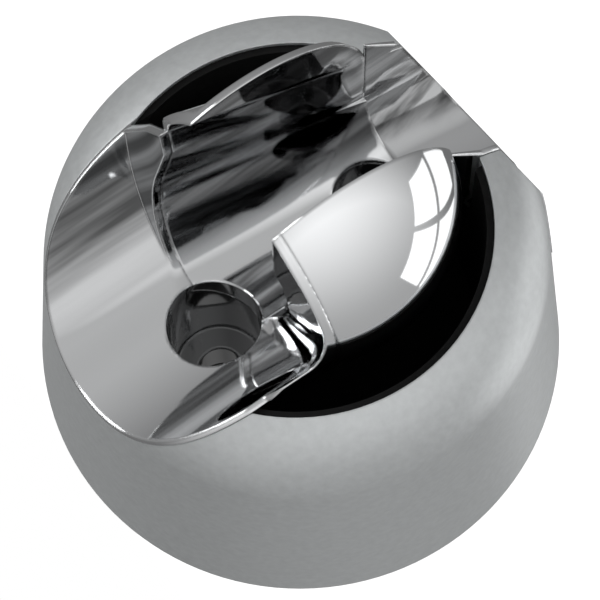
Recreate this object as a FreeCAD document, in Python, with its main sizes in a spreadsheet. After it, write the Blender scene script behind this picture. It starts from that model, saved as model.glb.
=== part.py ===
"""Wall holder for a hand shower: satin body ring, black inner base, chrome saddle and chrome ball clip.

The back face lies on the wall at Y = 0, the front looks towards -Y and +Z is up when the holder is in use.
The conical socket leans out from the wall at its wide upper end.
"""
import FreeCAD, Part
import Sketcher
import os

# Driving dimensions in millimetres and degrees

SIZES = [
    ("body_depth", 38.5, "wall face to front plane"),
    ("wall_radius", 30.8, "body at the wall"),
    ("shoulder_radius", 27.5, "body where the front rounding starts"),
    ("shoulder_depth", 8.9, "height of the front rounding"),
    ("bore_radius", 20.9, "open bore of the body"),
    ("trough_offset", 2.95, "middle of the trough beside the body axis"),
    ("socket_lean", 18.4, "lean of the socket from the wall, degrees"),
    ("socket_sink", 0.25, "middle of the wide end behind the front plane"),
    ("socket_rise", 8.75, "middle of the wide end above the body axis"),
    ("socket_radius", 10.3, "socket at its wide end"),
    ("socket_taper", 7.2, "half angle of the socket cone, degrees"),
    ("ball_radius", 17.8, "outer ball of the clip"),
    ("ball_offset", 1.85, "ball centre beside the body axis"),
    ("ball_forward", 0.6, "ball centre in front of the front plane"),
    ("ball_drop", 0.95, "ball centre below the body axis"),
    ("jaw_rise", 5.9, "upper end of the short jaw above the body axis"),
    ("narrow_drop", 16.5, "lower end of the clip below the body axis"),
    ("slot_width", 14.9, "hose slot between the jaws"),
    ("socket_travel", 9.0, "straight run of the long jaw's wall before it curls over"),
    ("curl_radius", 8.2, "curl of the long jaw's wall at the wide end"),
    ("wall_blend", 0.03, "straight run inside the cones that it joins"),
    ("jaw_wall", 1.0, "wall of the long jaw and of the spout"),
    ("flange_wall", 1.0, "plates of the saddle against the clip's wide ends"),
    ("long_rise", 7.4, "front of the long jaw's upper end above the body axis"),
    ("collar_side", 16.6, "outer end of the collar's edge beside the socket axis"),
    ("collar_turn", 34.0, "slope of the collar's edge, degrees"),
    ("horn_start", 13.7, "where the horn's lip leaves the front plane"),
    ("horn_slope", 42.7, "slope of the horn's lip, degrees"),
    ("horn_taper", 3.7, "lean of the horn's outside, degrees"),
    ("horn_height", 9.0, "horn above the short jaw's end"),
    ("bowl_round", 2.5, "rounding between the horn's plate and the scoop"),
    ("lip_start", 20.8, "where the lower arm's lip leaves the front plane"),
    ("lip_slope", 52.3, "slope of the lower arm's lip, degrees"),
    ("scoop_radius", 18.3, "upper scoop, inside the saddle's arm"),
    ("scoop_forward", 8.6, "scoop axis in front of the front plane"),
    ("exit_lean", 24.0, "lean of the exit's axis, degrees"),
    ("exit_sink", 8.6, "middle of the exit's inner end behind the front plane"),
    ("exit_radius", 7.4, "exit at its inner end"),
    ("exit_taper", 3.0, "half angle of the exit, degrees"),
    ("exit_bend", 63.0, "sideways turn of the exit's short side, degrees"),
    ("exit_length", 9.7, "inner end of the exit to its sideways turn"),
    ("outlet_drop", 22.0, "flat lower side below the body axis, at the front plane"),
    ("outlet_lean", 17.6, "lean of the flat lower side, degrees"),
    ("outlet_turn", 5.2, "sideways turn of the flat lower side, degrees"),
    ("arm_wall", 0.6, "wall of the saddle's arms"),
    ("arm_proud", 0.12, "arm edge above the body's surface"),
    ("seat_gap", 0.1, "joint line between saddle and body"),
    ("screw_rise", 11.8, "screw axes above and below the body axis"),
    ("screw_side", 1.15, "screw axes beside the body axis"),
    ("screw_radius", 2.5, "clearance hole for a wall screw"),
    ("head_radius", 5.2, "counterbore for the screw head"),
    ("head_seat", 11.7, "wall face to the counterbore's floor"),
    ("pedestal_wall", 2.0, "metal round each counterbore"),
    ("web_side", 6.2, "half width of the web between them"),
    ("base_floor", 6.0, "floor of the inner base"),
    ("base_wall", 0.8, "wall of the inner base"),
    ("base_setback", 0.6, "rim of the inner base behind the front plane"),
    ("reach", 60.0, "cutting tools reach past the part"),
]
ALIASES = [alias for alias, value, meaning in SIZES]

doc = FreeCAD.newDocument("hand_shower_holder")
sheet = doc.addObject("Spreadsheet::Sheet", "sizes")
for row, (alias, value, meaning) in enumerate(SIZES, start=1):
    sheet.set("A%d" % row, meaning)
    sheet.set("B%d" % row, str(value))
    sheet.setAlias("B%d" % row, alias)
doc.recompute()


def size(alias):
    """Value of one cell of the sheet."""
    return float(getattr(sheet, alias))


def named(text):
    """Expression in which every alias is read from the sheet."""
    out = ""
    word = ""
    for letter in text + " ":
        if letter.isalnum() or letter == "_":
            word += letter
            continue
        out += "sizes." + word if word in ALIASES else word
        out += letter
        word = ""
    return out.strip()


def bind(item, place=None, **bound):
    """Bind an object's sizes and placement to the sheet."""
    for prop, text in bound.items():
        item.setExpression(prop, named(text))
    if place:
        item.setExpression("Placement", named(place))
    return item


def primitive(kind, name, place=None, **bound):
    """One Part primitive bound to the sheet."""
    return bind(doc.addObject("Part::" + kind, name), place, **bound)


def boolean(kind, name, first, second, place=None):
    """Cut, or intersect, two objects."""
    item = doc.addObject("Part::" + kind, name)
    item.Base = first
    item.Tool = second
    return bind(item, place)


def joined(name, items, place=None):
    """Several objects fused to one."""
    item = doc.addObject("Part::MultiFuse", name)
    item.Shapes = items
    return bind(item, place)


# Frames: the socket's z runs up its axis from the wide end's middle and its y points to the wall

UPRIGHT = "rotation(vector(0; 0; 1); 0)"
FACING = "rotation(vector(1; 0; 0); 90)"


def at(x, y, z, turn=UPRIGHT):
    """Placement expression at a point."""
    return "placement(vector(%s; %s; %s); %s)" % (x, y, z, turn)


def tilted(angle, axis="1; 0; 0"):
    """Rotation expression about one axis."""
    return "rotation(vector(%s); %s)" % (axis, angle)


SOCKET = at("trough_offset", "socket_sink - body_depth", "socket_rise", tilted("socket_lean"))
EXIT = at("trough_offset", "exit_sink - body_depth", "-narrow_drop", tilted("exit_lean"))
BALL = ("ball_offset", "-(body_depth + ball_forward)")


def block(name, place, x, y, z):
    """Box that fills three ranges in a frame."""
    return primitive("Box", name, place + " * " + at(x[0], y[0], z[0]),
                     Length="(%s) - (%s)" % (x[1], x[0]),
                     Width="(%s) - (%s)" % (y[1], y[0]),
                     Height="(%s) - (%s)" % (z[1], z[0]))


WORLD = at("0", "0", "0")
FAR = ("-reach", "reach")


# Cutting tools shared by several pieces

def scoop(name, grow, low="0"):
    """Cylinder parallel to the wall that hollows the upper side."""
    return primitive("Cylinder", name, at("trough_offset", "-(body_depth + scoop_forward)", low),
                     Radius="scoop_radius + %s" % grow, Height="reach - (%s)" % low)


def cone(name, place, radius, taper, top, bottom, **bound):
    """Cone whose radius is given at the frame's origin."""
    return primitive("Cone", name, place + " * " + at("0", "0", "-(%s)" % bottom, tilted("90", "0; 0; 1")),
                     Radius1="%s - (%s) * tan(%s)" % (radius, bottom, taper),
                     Radius2="%s + (%s) * tan(%s)" % (radius, top, taper),
                     Height="(%s) + (%s)" % (top, bottom), **bound)


def wall_box(name, frame, sign, radius, taper, depth, top, bottom):
    """Box inside a wall that stands on a cone's widest line and runs to the front."""
    place = frame + " * " + at("%d * (%s)" % (sign, radius), "0", "0",
                               tilted("%d * (%s)" % (sign, taper), "0; 1; 0"))
    across = ("-(%s)" % radius, "0") if sign > 0 else ("0", radius)
    return block(name, place, across, ("-(%s)" % depth, "0"), ("-(%s)" % bottom, top))


def socket_tool(name, grow="0", top="reach / 4"):
    """The conical socket with the hose slot in front; the long jaw curls over it."""
    radius = "socket_radius + (%s)" % grow
    half_slot = "(slot_width / 2 + (%s))" % grow
    bottom = "reach / 2"
    run = joined(name + "_run", [
        block(name + "_slot", SOCKET, ("-" + half_slot, half_slot), ("-reach", "0"), ("-(%s)" % bottom, top)),
        cone(name + "_cone", SOCKET, radius, "socket_taper", top, bottom),
        wall_box(name + "_wall", SOCKET, 1, radius + " - wall_blend", "socket_taper", "socket_travel",
                 top, bottom),
    ])
    curl = cone(name + "_curl", SOCKET + " * " + at("socket_radius - curl_radius", "-socket_travel", "0"),
                "curl_radius + (%s)" % grow, "socket_taper", top, bottom)
    return boolean("Fuse", name, run, curl)


def passage(name, frame, taper, grow, top):
    """Round-bottomed passage whose walls run to the front."""
    radius = "exit_radius + (%s)" % grow
    bottom = "reach / 2"
    parts = [cone(name + "_cone", frame, radius, taper, top, bottom)]
    for sign, label in ((1, "_near"), (-1, "_far")):
        parts.append(wall_box(name + label, frame, sign, radius, taper, "reach", top, bottom))
    middle = ("-(%s) / 2" % radius, "(%s) / 2" % radius)
    parts.append(block(name + "_middle", frame, middle, ("-reach", "0"), ("-(%s)" % bottom, top)))
    return joined(name, parts)


def exit_tool(name, grow, top):
    """The exit under the socket, bent sideways on its short side."""
    bend = EXIT + " * " + at("0", "0", "-exit_length", tilted("exit_bend", "0; 1; 0"))
    return joined(name, [
        passage(name + "_run", EXIT, "-exit_taper", grow, top),
        passage(name + "_bend", bend, "0", grow, "0"),
    ])


def outlet_cut(name):
    """Half space under the flat lower side."""
    corner = at("0", "-body_depth", "-outlet_drop", tilted("-outlet_turn", "0; 1; 0"))
    lean = at("0", "0", "0", tilted("-outlet_lean"))
    return block(name, corner + " * " + lean, FAR, FAR, ("-reach", "0"))


SCREWS = [("upper", "-screw_side", "screw_rise"), ("lower", "screw_side", "-screw_rise")]


def screw_tools(name, radius, low, height="reach"):
    """Two cylinders along the screw axes, towards the front from a height above the wall."""
    return joined(name, [primitive("Cylinder", "%s_%s" % (name, label), at(x, low, z, FACING),
                                   Radius=radius, Height=height) for label, x, z in SCREWS])


SHORT_SIDE = "trough_offset - slot_width / 2"


def end_planes(name, side, drop):
    """All that lies past the clip's wide ends, or before them: short jaw, long jaw and leaning floor."""
    def past(start):
        return (start, "reach") if side > 0 else ("-reach", start)
    leaning = block(name + "_leaning", SOCKET, ("-slot_width / 2", "reach"), FAR, past("-(%s)" % drop))
    long_end = block(name + "_long", WORLD, (SHORT_SIDE, "reach"), ("-2 * reach", "reach"),
                     past("long_rise - (%s)" % drop))
    short_end = block(name + "_short", WORLD, ("-reach", SHORT_SIDE), ("-2 * reach", "reach"),
                      past("jaw_rise - (%s)" % drop))
    kind = "Common" if side > 0 else "Fuse"
    floor = boolean(kind, name + "_floor", leaning, long_end)
    return joined(name, [floor, short_end])


def envelope(name, grow):
    """Turned outer form of the body; grow moves its skin outwards."""
    body = doc.addObject("PartDesign::Body", name)
    plane = [item for item in body.Origin.OriginFeatures if item.Role == "XY_Plane"][0]
    axis = [item for item in body.Origin.OriginFeatures if item.Role == "Y_Axis"][0]
    sketch = body.newObject("Sketcher::SketchObject", name + "_profile")
    sketch.AttachmentSupport = [(plane, "")]
    sketch.MapMode = "FlatFace"
    wall, shoulder, bore = size("wall_radius"), size("shoulder_radius"), size("bore_radius")
    front, start = -size("body_depth"), size("shoulder_depth") - size("body_depth")
    vec = FreeCAD.Vector
    middle = vec(0.95 * shoulder, start - 0.7 * size("shoulder_depth"), 0)
    points = [vec(0, 0, 0), vec(wall, 0, 0), vec(shoulder, start, 0), vec(bore, front, 0), vec(0, front, 0)]
    back = sketch.addGeometry(Part.LineSegment(points[0], points[1]), False)
    side = sketch.addGeometry(Part.LineSegment(points[1], points[2]), False)
    bend = sketch.addGeometry(Part.Arc(points[2], middle, points[3]), False)
    face = sketch.addGeometry(Part.LineSegment(points[3], points[4]), False)
    core = sketch.addGeometry(Part.LineSegment(points[4], points[0]), False)
    tie = Sketcher.Constraint
    near, far = sorted((1, 2), key=lambda end: -sketch.getPoint(bend, end).x)
    sketch.addConstraint([
        tie("Coincident", back, 2, side, 1),
        tie("Coincident", face, 2, core, 1),
        tie("Coincident", core, 2, back, 1),
        tie("Coincident", back, 1, -1, 1),
        tie("Horizontal", back),
        tie("Horizontal", face),
        tie("Vertical", core),
        tie("Tangent", side, 2, bend, near),
        tie("Coincident", bend, far, face, 1),
    ])
    for constraint, text in [
        (tie("Distance", back, wall), "wall_radius + %s" % grow),
        (tie("DistanceX", -1, 1, side, 2, shoulder), "shoulder_radius + %s" % grow),
        (tie("DistanceY", side, 2, -1, 1, -start), "body_depth - shoulder_depth"),
        (tie("DistanceX", -1, 1, face, 1, bore), "bore_radius"),
        (tie("Distance", core, -front), "body_depth + %s" % grow),
    ]:
        sketch.setExpression("Constraints[%d]" % sketch.addConstraint(constraint), named(text))
    turned = body.newObject("PartDesign::Revolution", name + "_turned")
    turned.Profile = sketch
    turned.ReferenceAxis = (axis, [""])
    turned.Angle = 360.0
    body.Tip = turned
    return body


# Outer body: turned form, open bore, upper scoop and lower exit

body_bore = primitive("Cylinder", "body_bore", at("0", "reach / 2", "0", FACING),
                      Radius="bore_radius", Height="reach + body_depth")
body_ring = boolean("Cut", "body_ring", envelope("body_form", "0"), body_bore)
body_scoops = joined("body_scoops", [
    scoop("body_scoop", "arm_wall + seat_gap"),
    exit_tool("body_exit", "arm_wall + seat_gap", "exit_length / 2"),
    outlet_cut("body_outlet"),
])
outer_body = boolean("Cut", "outer_body", body_ring, body_scoops)

# Inner base: a black cup inside the bore, holed for the wall screws

base_blank = primitive("Cylinder", "base_blank", at("0", "0", "0", FACING),
                       Radius="bore_radius", Height="body_depth - base_setback")
base_hollow = primitive("Cylinder", "base_hollow", at("0", "-base_floor", "0", FACING),
                        Radius="bore_radius - base_wall", Height="reach")
base_tools = joined("base_tools", [
    base_hollow,
    scoop("base_scoop", "arm_wall + seat_gap"),
    exit_tool("base_exit", "arm_wall + base_wall", "0.75 * exit_length"),
    screw_tools("base_screws", "screw_radius", "reach / 4"),
    outlet_cut("base_outlet"),
])
inner_base = boolean("Cut", "inner_base", base_blank, base_tools)


# Ball clip: a ball on the socket axis with a thin long jaw, cut flat at its ends and opened by the hose slot

def ball(name):
    """The clip's outer ball."""
    return primitive("Sphere", name, at(BALL[0], BALL[1], "-ball_drop"), Radius="ball_radius")


def clip_block(name):
    """The clip's outer form before the socket is cut."""
    beyond = block(name + "_beyond", SOCKET, ("curl_radius / 4", "reach"), FAR, FAR)
    outside = boolean("Cut", name + "_outside", beyond, socket_tool(name + "_skin", "jaw_wall", "reach"))
    low = block(name + "_low", WORLD, FAR, ("-2 * reach", "reach"), ("-narrow_drop", "reach"))
    slab = boolean("Common", name + "_slab", ball(name + "_ball"), low)
    jaws = boolean("Cut", name + "_jaws", slab,
                   joined(name + "_trims", [end_planes(name + "_ends", 1, "flange_wall"), outside]))
    room = block(name + "_spout_room", WORLD, FAR, ("-body_depth", "reach"), ("-narrow_drop", "0"))
    spout = boolean("Common", name + "_spout", socket_tool(name + "_spout_form", "jaw_wall"), room)
    return joined(name, [jaws, spout])


clip_tools = joined("clip_tools", [
    socket_tool("clip_socket"),
    screw_tools("clip_heads", "head_radius", "-head_seat"),
])
ball_clip = boolean("Cut", "ball_clip", clip_block("clip_form"), clip_tools)

# Saddle, upper arm: a thin scoop that lines the body, with plates against the clip's wide ends

upper_full = boolean("Cut", "upper_full", scoop("upper_outside", "arm_wall"),
                     scoop("upper_inside", "0", "-arm_wall"))
upper_shell = boolean("Cut", "upper_shell", upper_full, end_planes("upper_ends", -1, "flange_wall"))
lower_full = boolean("Cut", "lower_full", exit_tool("lower_outside", "arm_wall", "exit_length"),
                     exit_tool("lower_inside", "0", "exit_length + arm_wall"))
lower_top = block("lower_top", WORLD, FAR, ("-2 * reach", "reach"), ("-narrow_drop", "reach"))
lower_shell = boolean("Cut", "lower_shell", lower_full, lower_top)
lip_room = block("lip_room", at("trough_offset", "-body_depth", "-lip_start", tilted("lip_slope")),
                 ("-(exit_radius + arm_wall)", "exit_radius + arm_wall"), ("0", "reach / 4"),
                 ("0", "reach / 4"))
arm_room = joined("arm_room", [envelope("arm_form", "arm_proud"), lip_room])
arms = boolean("Common", "arms", joined("arm_shells", [upper_shell, lower_shell]), arm_room)

# Collar beside the long jaw

collar_blank = boolean("Common", "collar_blank", end_planes("collar_low", -1, "0"),
                       end_planes("collar_high", 1, "flange_wall"))
collar_edge = block("collar_edge", at("trough_offset + collar_side", "-body_depth", "0",
                                      tilted("-collar_turn", "0; 0; 1")), ("0", "reach"), FAR, FAR)
collar_side = block("collar_half", WORLD, ("trough_offset", "reach"), ("-reach", "0"), FAR)
collar_full = boolean("Common", "collar_full", collar_blank, collar_side)
collar_trim = boolean("Cut", "collar_trim", collar_full, collar_edge)
collar = boolean("Common", "collar", collar_trim, scoop("collar_room", "arm_wall"))

# Horn beside the short jaw: a plate under the jaw's end that turns into the scoop and carries the lip

plate_blank = block("plate_blank", WORLD, ("-reach / 2", SHORT_SIDE), ("-reach", "0"),
                    ("jaw_rise - flange_wall", "jaw_rise"))
plate = boolean("Common", "plate", plate_blank, ball("plate_ball"))
HORN = at(BALL[0], BALL[1], "jaw_rise")
HORN_FOOT = "sqrt(ball_radius ^ 2 - (jaw_rise + ball_drop) ^ 2)"
horn_blank = boolean("Common", "horn_blank",
                     cone("horn_form", HORN, HORN_FOOT, "-horn_taper", "horn_height", "0"),
                     scoop("horn_scoop", "arm_wall"))
horn_side = block("horn_side", WORLD, ("-reach / 2", SHORT_SIDE), ("-reach", "0"), ("0", "reach"))
horn_half = boolean("Common", "horn_half", horn_blank, horn_side)
horn_wedge = block("horn_wedge", at("0", "-body_depth", "horn_start", tilted("-horn_slope")),
                   FAR, ("0", "reach"), ("-reach", "0"))
horn_room = joined("horn_room", [envelope("horn_envelope", "arm_proud"), horn_wedge])
horn_full = boolean("Common", "horn_full", horn_half, horn_room)
bowl = joined("bowl", [
    primitive("Cylinder", "bowl_upper",
              at("trough_offset", "-(body_depth + scoop_forward)", "jaw_rise + bowl_round"),
              Radius="scoop_radius", Height="reach"),
    primitive("Cylinder", "bowl_foot", at("trough_offset", "-(body_depth + scoop_forward)", "jaw_rise"),
              Radius="scoop_radius - bowl_round", Height="reach"),
    primitive("Torus", "bowl_turn",
              at("trough_offset", "-(body_depth + scoop_forward)", "jaw_rise + bowl_round"),
              Radius1="scoop_radius - bowl_round", Radius2="bowl_round"),
])
bowl_side = cone("bowl_side", HORN, HORN_FOOT + " - arm_wall", "-horn_taper", "horn_height", "0")
bowl_front = block("bowl_front", WORLD, FAR, ("-reach", "-body_depth"), ("0", "reach"))
bowl_room = boolean("Common", "bowl_room", bowl, joined("bowl_limits", [bowl_side, bowl_front]))
horn = boolean("Cut", "horn", horn_full, bowl_room)

# Pedestal under the clip, with the screw seats

pedestal_blank = joined("pedestal_blank", [
    primitive("Cylinder", "pedestal_upper", at("-screw_side", "-base_floor", "screw_rise", FACING),
              Radius="head_radius + pedestal_wall", Height="body_depth - base_floor"),
    primitive("Cylinder", "pedestal_lower", at("screw_side", "-base_floor", "-screw_rise", FACING),
              Radius="head_radius + pedestal_wall", Height="body_depth - base_floor"),
    block("pedestal_web", WORLD, ("-web_side", "web_side"), ("-body_depth", "-base_floor"),
          ("-screw_rise", "screw_rise")),
])
pedestal_room = joined("pedestal_room", [
    scoop("pedestal_scoop", "0"),
    exit_tool("pedestal_exit", "0", "0"),
])
pedestal = boolean("Cut", "pedestal", pedestal_blank, pedestal_room)
saddle_tools = joined("saddle_tools", [
    clip_block("clip_room"),
    socket_tool("saddle_socket"),
    screw_tools("saddle_heads", "head_radius", "-head_seat"),
    screw_tools("saddle_holes", "screw_radius", "reach / 4"),
    outlet_cut("saddle_outlet"),
])
saddle_blank = joined("saddle_blank", [arms, pedestal, collar, plate, horn])
saddle = boolean("Cut", "saddle", saddle_blank, saddle_tools)
doc.recompute()

# Checks and export

PARTS = [("outer_body", outer_body), ("saddle", saddle), ("ball_clip", ball_clip), ("inner_base", inner_base)]

for item in doc.Objects:
    if "Invalid" in item.State or "Error" in item.State:
        raise RuntimeError("%s did not compute: %s" % (item.Name, item.State))
os.makedirs("parts", exist_ok=True)
for name, item in PARTS:
    shape = item.Shape
    if shape.isNull() or not shape.isValid() or not shape.Solids:
        raise RuntimeError("%s has no valid solid" % name)
    print(name, "solids", len(shape.Solids), "volume", round(shape.Volume, 1), [round(v, 2) for v in (
        shape.BoundBox.XMin, shape.BoundBox.XMax, shape.BoundBox.YMin, shape.BoundBox.YMax,
        shape.BoundBox.ZMin, shape.BoundBox.ZMax)])
    shape.exportStep("parts/%s.step" % name)
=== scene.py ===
"""Looks of the hand shower wall holder: satin ring, chrome saddle, chrome ball clip and black base."""
import math

import bmesh
import bpy
from mathutils import Matrix, Vector


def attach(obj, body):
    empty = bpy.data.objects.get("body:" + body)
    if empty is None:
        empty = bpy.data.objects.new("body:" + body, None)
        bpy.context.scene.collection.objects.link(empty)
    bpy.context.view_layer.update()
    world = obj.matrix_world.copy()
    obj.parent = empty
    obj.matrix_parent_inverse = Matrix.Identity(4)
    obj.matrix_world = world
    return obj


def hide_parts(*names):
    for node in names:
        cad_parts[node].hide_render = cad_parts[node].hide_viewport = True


bl_info = {
    "name": "Hand shower holder",
    "version": (1, 0, 0),
    "blender": (4, 5, 0),
    "location": "View3D > Sidebar > Holder",
    "description": "Dresses a wall holder for a hand shower: satin ring, chrome saddle and ball clip",
    "category": "Object",
}

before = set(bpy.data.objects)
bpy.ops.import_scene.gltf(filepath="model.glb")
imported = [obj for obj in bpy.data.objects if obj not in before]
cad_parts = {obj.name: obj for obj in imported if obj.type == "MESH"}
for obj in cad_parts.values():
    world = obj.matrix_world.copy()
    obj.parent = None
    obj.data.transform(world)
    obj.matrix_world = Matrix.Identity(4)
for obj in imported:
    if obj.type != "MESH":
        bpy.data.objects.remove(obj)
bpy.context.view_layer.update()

# Meshes: corners nearer than this are one, and edges that turn by more than this are sharp
SAME_CORNER = 1e-6
SHARP_TURN = math.radians(28)

# Satin ring: shares of its colour in the mottle, then its grain and the rounding of its edges
SATIN_TONES = (0.88, 1.12)
SATIN_METALLIC = 0.6
SATIN_ROUGHNESS_SPREAD = 0.05
SATIN_CLOUD_SCALE = 1100
SATIN_CLOUD_DETAIL = 6
SATIN_GRAIN_SCALE = 2600
SATIN_GRAIN_STRENGTH = 0.05
SATIN_GRAIN_DEPTH = 0.0001
SATIN_EDGE = 0.0003

# Chrome: waves in its plating, shares of its roughness and of its colour where dark reflections and shade are
# painted, and the rounding of its edges
CHROME_WAVE_SCALE = 90
CHROME_WAVE_DETAIL = 1
CHROME_WAVE_STRENGTH = 0.04
CHROME_WAVE_DEPTH = 0.0005
CHROME_ROUGHNESS_SHARES = (0.7, 1.5)
CHROME_PAINTED_DARK_SHARE = 0.1
CHROME_EDGE = 0.0005
EDGE_SAMPLES = 6

# Painted dark reflections in streaks along the trough: how far across the holder they begin, and how far a
# wall turns to face the trough
WALL_ACROSS = (0.0055, 0.0085)
WALL_FACING = (-0.25, -0.55)
TROUGH_LEAN = math.radians(-18.4)
REFLECTION_STREAK_STRETCH = (1, 1, 0.06)
REFLECTION_STREAK_SCALE = 420
REFLECTION_STREAK_DETAIL = 3
REFLECTION_STREAK_LEVELS = (0.4, 0.62)
REFLECTION_STREAK_DARKNESS = (0.72, 1)

# Painted shade in the screw seats: how near to the wall and how high on the holder the painted shade begins
SEAT_SHADE_DEPTH = (-0.029, -0.026)
SEAT_SHADE_HEIGHT = (-0.0175, -0.0165)
SEAT_SHADE_AMOUNT = (0, 0.85)

# Black plastic
BLACK_GRAIN_SCALE = 900
BLACK_ROUGHNESS = (0.6, 0.8)
BLACK_SPECULAR = 0.2

# Floor: its glow is for the camera alone
FLOOR_SIZE = 4
FLOOR_TONE = 0.8
FLOOR_ROUGHNESS = 0.9
FLOOR_GLOW = 0.75

# Room: the light on dull surfaces, then what metal reflects in front of the holder, behind it and beside it
SOFT_LIGHT = 0.5
ROOM_FRONT = 1.15
ROOM_BACK = 0.4
ROOM_DEPTH = (0.6, -0.9)
ROOM_FALL = 1.6
ROOM_SIDES = (-0.6, -0.15)
ROOM_SIDE_LIGHT = (1, 0.42)

# Window in the room: its direction, then its panes, bars and edge as seen from one unit away
WINDOW_WAY = (-0.45, 0.45, -0.77)
WINDOW_PANE = 0.5
WINDOW_BAR = 0.03
WINDOW_EDGE = (0.50, 0.48)
WINDOW_HORIZON = (0.0, 0.01)

# Lamp and camera
LAMP_PLACE = (0.5, -0.5, 0.3)
LAMP_SIZE = 0.4
LAMP_POWER = 2
CAMERA_PLACE = (-0.0766, -0.2959, 0.0502)
CAMERA_RIGHT = (-0.582, 0.0129, -0.813)
CAMERA_UP = (0.771, -0.3078, -0.557)

WHITE = (1, 1, 1, 1)
BLACK = (0, 0, 0, 1)


class HOLDER_PG_finish(bpy.types.PropertyGroup):
    """Colours and finishes of the holder."""
    satin: bpy.props.FloatVectorProperty(
        name="Satin", description="Colour of the satin ring", subtype="COLOR", size=3,
        default=(0.66, 0.68, 0.685), min=0, max=1)
    satin_roughness: bpy.props.FloatProperty(
        name="Satin roughness", description="Softness of the ring's reflections", default=0.42, min=0, max=1)
    chrome: bpy.props.FloatVectorProperty(
        name="Chrome", description="Colour of the chrome", subtype="COLOR", size=3,
        default=(0.86, 0.87, 0.88), min=0, max=1)
    chrome_roughness: bpy.props.FloatProperty(
        name="Chrome roughness", description="Softness of the chrome's reflections",
        default=0.045, min=0, max=1)
    black: bpy.props.FloatVectorProperty(
        name="Black", description="Colour of the base's plastic", subtype="COLOR", size=3,
        default=(0.004, 0.004, 0.004), min=0, max=1)


class HOLDER_PG_stage(bpy.types.PropertyGroup):
    """Floor and camera."""
    floor_drop: bpy.props.FloatProperty(
        name="Floor drop", description="Floor below the holder's middle", default=0.11, unit="LENGTH")
    lens_angle: bpy.props.FloatProperty(
        name="Lens angle", description="Field of view", default=math.radians(13.17), subtype="ANGLE")


def feed(tree, node, inputs):
    """Give a node its inputs, each a plain value or the output of another node."""
    for name, value in inputs.items():
        if isinstance(value, bpy.types.NodeSocket):
            tree.links.new(value, node.inputs[name])
        else:
            node.inputs[name].default_value = value


def add(tree, kind, inputs=None, **settings):
    """A new shader node of a kind; its settings come first, because they decide which inputs it has."""
    node = tree.nodes.new("ShaderNode" + kind)
    for name, value in settings.items():
        setattr(node, name, value)
    feed(tree, node, inputs or {})
    return node


def calculate(tree, operation, *numbers):
    """The result of a Math node."""
    return add(tree, "Math", dict(enumerate(numbers)), operation=operation).outputs[0]


def ramp(tree, source, low, high, start=0, end=1):
    """A number that runs from start to end while its source runs from low to high."""
    limits = {"From Min": low, "From Max": high, "To Min": start, "To Max": end}
    return add(tree, "MapRange", {"Value": source, **limits}).outputs["Result"]


def noise(tree, place, scale, detail=2):
    """Smooth noise over a place."""
    return add(tree, "TexNoise", {"Vector": place, "Scale": scale, "Detail": detail}).outputs["Fac"]


def mixed(tree, share, first, second):
    """A colour that runs from the first to the second with a share."""
    colours = {"Factor": share, "A": (*first, 1), "B": (*second, 1)}
    return add(tree, "Mix", colours, data_type="RGBA").outputs["Result"]


def relief(tree, height, strength, depth, radius):
    """Bumps of a height over edges that are rounded by a small radius."""
    edge = add(tree, "Bevel", {"Radius": radius}, samples=EDGE_SAMPLES)
    bumps = {"Strength": strength, "Distance": depth, "Height": height, "Normal": edge.outputs["Normal"]}
    return add(tree, "Bump", bumps).outputs["Normal"]


def graph(name):
    """A new node material with its node tree and shader."""
    material = bpy.data.materials.new(name)
    material.use_nodes = True
    tree = material.node_tree
    return material, tree, tree.nodes["Principled BSDF"]


def satin_metal(finish):
    """Satin plated metal: a faint cloudy mottle in its colour and roughness, and a fine grain."""
    material, tree, shader = graph("satin_metal")
    place = add(tree, "TexCoord").outputs["Object"]
    cloud = noise(tree, place, SATIN_CLOUD_SCALE, SATIN_CLOUD_DETAIL)
    grain = noise(tree, place, SATIN_GRAIN_SCALE)
    dark, light = ([min(1, channel * tone) for channel in finish.satin] for tone in SATIN_TONES)
    smooth = finish.satin_roughness - SATIN_ROUGHNESS_SPREAD
    rough = finish.satin_roughness + SATIN_ROUGHNESS_SPREAD
    feed(tree, shader, {
        "Base Color": mixed(tree, cloud, dark, light),
        "Roughness": ramp(tree, cloud, 0, 1, smooth, rough),
        "Metallic": SATIN_METALLIC,
        "Normal": relief(tree, grain, SATIN_GRAIN_STRENGTH, SATIN_GRAIN_DEPTH, SATIN_EDGE),
    })
    return material


def painted_reflection_and_shade(tree, place, holed):
    """Mask of painted dark reflections, in streaks on the walls that look across the trough, and of painted
    shade in a holed piece's screw seats.
    """
    spot = add(tree, "SeparateXYZ", {"Vector": place["Object"]}).outputs
    facing = add(tree, "SeparateXYZ", {"Vector": place["Normal"]}).outputs
    # Painted dark reflections: darker where a wall faces across the trough, in streaks along it
    wall = calculate(tree, "MULTIPLY", ramp(tree, spot["X"], *WALL_ACROSS),
                     ramp(tree, facing["X"], *WALL_FACING))
    stretch = add(tree, "Mapping", {
        "Vector": place["Object"], "Rotation": (TROUGH_LEAN, 0, 0), "Scale": REFLECTION_STREAK_STRETCH})
    reflection_streak = noise(tree, stretch.outputs["Vector"], REFLECTION_STREAK_SCALE, REFLECTION_STREAK_DETAIL)
    painted_dark_reflections = calculate(tree, "MULTIPLY", wall, ramp(tree, reflection_streak, *REFLECTION_STREAK_LEVELS, *REFLECTION_STREAK_DARKNESS))
    if not holed:
        return painted_dark_reflections
    # Painted shade in the screw seats, near the wall and low on the holder
    painted_seat_shade = calculate(tree, "MULTIPLY", ramp(tree, spot["Y"], *SEAT_SHADE_DEPTH, *SEAT_SHADE_AMOUNT),
                      ramp(tree, spot["Z"], *SEAT_SHADE_HEIGHT))
    return calculate(tree, "MAXIMUM", painted_dark_reflections, painted_seat_shade)


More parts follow.
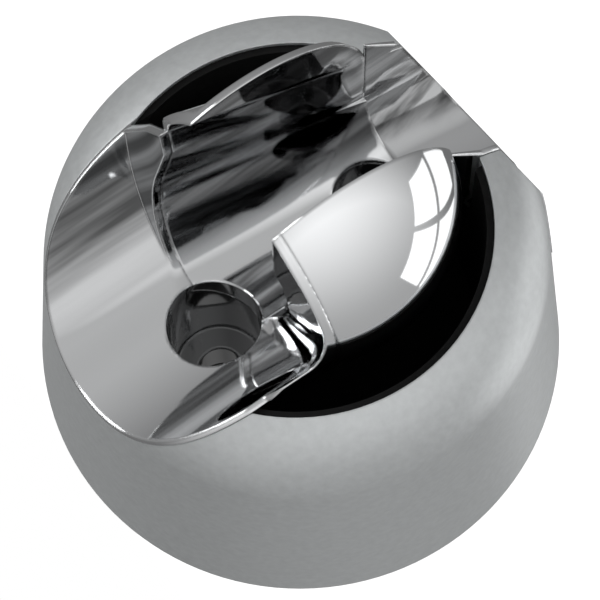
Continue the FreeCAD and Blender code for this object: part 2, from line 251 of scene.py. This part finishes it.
def chrome_plate(finish, name, holed):
    """Polished chrome with very slight waves, with painted dark reflections across the trough and, if holed,
    painted shade in its screw seats.
    """
    material, tree, shader = graph(name)
    place = add(tree, "TexCoord").outputs
    wave = noise(tree, place["Object"], CHROME_WAVE_SCALE, CHROME_WAVE_DETAIL)
    # Darkest colour of the painted dark reflections and painted shade
    dark = [channel * CHROME_PAINTED_DARK_SHARE for channel in finish.chrome]
    smooth, rough = (finish.chrome_roughness * share for share in CHROME_ROUGHNESS_SHARES)
    feed(tree, shader, {
        "Base Color": mixed(tree, painted_reflection_and_shade(tree, place, holed), finish.chrome, dark),
        "Roughness": ramp(tree, wave, 0, 1, smooth, rough),
        "Metallic": 1,
        "Normal": relief(tree, wave, CHROME_WAVE_STRENGTH, CHROME_WAVE_DEPTH, CHROME_EDGE),
    })
    return material


def black_plastic(finish):
    """Black moulded plastic with a slightly uneven gloss."""
    material, tree, shader = graph("black_plastic")
    grain = noise(tree, add(tree, "TexCoord").outputs["Object"], BLACK_GRAIN_SCALE)
    feed(tree, shader, {
        "Base Color": (*finish.black, 1),
        "Roughness": ramp(tree, grain, 0, 1, *BLACK_ROUGHNESS),
        "Specular IOR Level": BLACK_SPECULAR,
    })
    return material


def merged_copy(node, name, material):
    """Put a smooth-shaded copy of a CAD node in its place."""
    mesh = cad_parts[node].data.copy()
    form = bmesh.new()
    form.from_mesh(mesh)
    bmesh.ops.remove_doubles(form, verts=form.verts, dist=SAME_CORNER)
    for face in form.faces:
        face.smooth = True
    for edge in form.edges:
        edge.smooth = edge.is_manifold and edge.calc_face_angle(0) < SHARP_TURN
    form.to_mesh(mesh)
    form.free()
    mesh.materials.clear()
    mesh.materials.append(material)
    piece = bpy.data.objects.new(name, mesh)
    bpy.context.scene.collection.objects.link(piece)
    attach(piece, "root")
    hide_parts(node)


class HOLDER_OT_ring(bpy.types.Operator):
    """Dress the satin ring"""
    bl_idname = "holder.ring"
    bl_label = "Satin ring"

    def execute(self, context):
        merged_copy("outer_body", "satin_ring", satin_metal(context.scene.holder_finish))
        return {"FINISHED"}


class HOLDER_OT_saddle(bpy.types.Operator):
    """Dress the chrome saddle"""
    bl_idname = "holder.saddle"
    bl_label = "Chrome saddle"

    def execute(self, context):
        material = chrome_plate(context.scene.holder_finish, "saddle_chrome", True)
        merged_copy("saddle", "chrome_saddle", material)
        return {"FINISHED"}


class HOLDER_OT_clip(bpy.types.Operator):
    """Dress the chrome ball clip"""
    bl_idname = "holder.clip"
    bl_label = "Ball clip"

    def execute(self, context):
        material = chrome_plate(context.scene.holder_finish, "clip_chrome", False)
        merged_copy("ball_clip", "chrome_clip", material)
        return {"FINISHED"}


class HOLDER_OT_base(bpy.types.Operator):
    """Dress the black base"""
    bl_idname = "holder.base"
    bl_label = "Black base"

    def execute(self, context):
        merged_copy("inner_base", "black_base", black_plastic(context.scene.holder_finish))
        return {"FINISHED"}


def pale_floor():
    """Pale matt surface that glows for the camera alone, and that reflections look through."""
    material, tree, shader = graph("pale_floor")
    rays = add(tree, "LightPath").outputs
    feed(tree, shader, {
        "Base Color": (FLOOR_TONE, FLOOR_TONE, FLOOR_TONE, 1),
        "Roughness": FLOOR_ROUGHNESS,
        "Emission Color": WHITE,
        "Emission Strength": ramp(tree, rays["Is Camera Ray"], 0, 1, 0, FLOOR_GLOW),
    })
    clear = add(tree, "BsdfTransparent")
    surface = add(tree, "MixShader", {
        0: rays["Is Glossy Ray"], 1: shader.outputs["BSDF"], 2: clear.outputs["BSDF"]})
    feed(tree, tree.nodes["Material Output"], {"Surface": surface.outputs["Shader"]})
    return material


def floor(drop):
    """Lay the floor at a drop below the holder's middle."""
    form = bmesh.new()
    bmesh.ops.create_grid(form, x_segments=1, y_segments=1, size=FLOOR_SIZE / 2)
    bmesh.ops.translate(form, vec=(0, 0, -drop), verts=form.verts)
    mesh = bpy.data.meshes.new("floor")
    form.to_mesh(mesh)
    form.free()
    mesh.materials.append(pale_floor())
    piece = bpy.data.objects.new("floor", mesh)
    bpy.context.scene.collection.objects.link(piece)


def window(tree, way):
    """A bright window with crossing bars, low behind the holder; 1 in its panes and 0 elsewhere."""
    rotation = Vector(WINDOW_WAY).to_track_quat("Z", "Y").to_euler()
    turn = add(tree, "VectorRotate", {"Vector": way, "Rotation": rotation},
               rotation_type="EULER_XYZ", invert=True)
    parts = add(tree, "SeparateXYZ", {"Vector": turn.outputs["Vector"]}).outputs
    across = calculate(tree, "DIVIDE", parts["X"], parts["Z"])
    along = calculate(tree, "DIVIDE", parts["Y"], parts["Z"])
    spot = add(tree, "CombineXYZ", {"X": across, "Y": along})
    panes = add(tree, "TexBrick", {
        "Vector": spot.outputs["Vector"], "Color1": WHITE, "Color2": WHITE, "Mortar": BLACK, "Scale": 1,
        "Brick Width": WINDOW_PANE, "Row Height": WINDOW_PANE, "Mortar Size": WINDOW_BAR}, offset=0)
    lit = calculate(tree, "MULTIPLY", panes.outputs["Color"], ramp(tree, parts["Z"], *WINDOW_HORIZON))
    for number in (across, along):
        inside = ramp(tree, calculate(tree, "ABSOLUTE", number), *WINDOW_EDGE)
        lit = calculate(tree, "MULTIPLY", lit, inside)
    return lit


def studio():
    """White backdrop and soft light; metal reflects a room with a window, bright in front and grey behind."""
    world = bpy.data.worlds.new("studio")
    world.use_nodes = True
    tree = world.node_tree
    rays = add(tree, "LightPath").outputs
    way = add(tree, "TexCoord").outputs["Generated"]
    parts = add(tree, "SeparateXYZ", {"Vector": way}).outputs
    fall = calculate(tree, "POWER", ramp(tree, parts["Y"], *ROOM_DEPTH), ROOM_FALL)
    room = calculate(tree, "MULTIPLY", ramp(tree, fall, 0, 1, ROOM_BACK, ROOM_FRONT),
                     ramp(tree, parts["X"], *ROOM_SIDES, *ROOM_SIDE_LIGHT))
    reflected = calculate(tree, "ADD", room, window(tree, way))
    lit = ramp(tree, rays["Is Glossy Ray"], 0, 1, SOFT_LIGHT, reflected)
    seen = ramp(tree, rays["Is Camera Ray"], 0, 1, lit, 1)
    feed(tree, tree.nodes["Background"], {"Color": WHITE, "Strength": seen})
    return world


def key_lamp():
    """Hang a soft square lamp that faces the holder."""
    light = bpy.data.lights.new("key_lamp", "AREA")
    light.shape = "RECTANGLE"
    light.size = LAMP_SIZE
    light.size_y = LAMP_SIZE
    light.energy = LAMP_POWER
    item = bpy.data.objects.new("key_lamp", light)
    item.location = LAMP_PLACE
    item.rotation_euler = (-Vector(LAMP_PLACE)).to_track_quat("-Z", "Y").to_euler()
    bpy.context.scene.collection.objects.link(item)


def camera(angle):
    """Set up the camera with a field of view; its directions are squared to each other first."""
    lens = bpy.data.cameras.new("camera")
    lens.sensor_fit = "HORIZONTAL"
    lens.angle = angle
    eye = bpy.data.objects.new("camera", lens)
    right = Vector(CAMERA_RIGHT)
    away = right.cross(Vector(CAMERA_UP)).normalized()
    right.normalize()
    up = away.cross(right)
    turn = Matrix((right, up, away)).transposed().to_4x4()
    eye.matrix_world = Matrix.Translation(CAMERA_PLACE) @ turn
    bpy.context.scene.collection.objects.link(eye)
    return eye


class HOLDER_OT_stage(bpy.types.Operator):
    """Make the floor, the light and the camera"""
    bl_idname = "holder.stage"
    bl_label = "Stage"

    def execute(self, context):
        scene = context.scene
        scene.view_settings.view_transform = "Standard"
        floor(scene.holder_stage.floor_drop)
        scene.world = studio()
        key_lamp()
        scene.camera = camera(scene.holder_stage.lens_angle)
        return {"FINISHED"}


class HOLDER_PT_panel(bpy.types.Panel):
    """Lists the holder's finishes, stage and pieces"""
    bl_label = "Hand shower holder"
    bl_space_type = "VIEW_3D"
    bl_region_type = "UI"
    bl_category = "Holder"

    def draw(self, context):
        for group in (context.scene.holder_finish, context.scene.holder_stage):
            for name in type(group).__annotations__:
                self.layout.prop(group, name)
        for operator in OPERATORS:
            self.layout.operator(operator.bl_idname)


OPERATORS = (HOLDER_OT_ring, HOLDER_OT_saddle, HOLDER_OT_clip, HOLDER_OT_base, HOLDER_OT_stage)
CLASSES = (HOLDER_PG_finish, HOLDER_PG_stage, *OPERATORS, HOLDER_PT_panel)


def register():
    """Add the classes and the scene's two groups of settings."""
    for item in CLASSES:
        bpy.utils.register_class(item)
    bpy.types.Scene.holder_finish = bpy.props.PointerProperty(type=HOLDER_PG_finish)
    bpy.types.Scene.holder_stage = bpy.props.PointerProperty(type=HOLDER_PG_stage)


def unregister():
    """Take the settings and the classes away again."""
    del bpy.types.Scene.holder_finish
    del bpy.types.Scene.holder_stage
    for item in reversed(CLASSES):
        bpy.utils.unregister_class(item)


def main():
    """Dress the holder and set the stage."""
    register()
    bpy.ops.holder.ring()
    bpy.ops.holder.saddle()
    bpy.ops.holder.clip()
    bpy.ops.holder.base()
    bpy.ops.holder.stage()


if __name__ == "__main__":
    main()
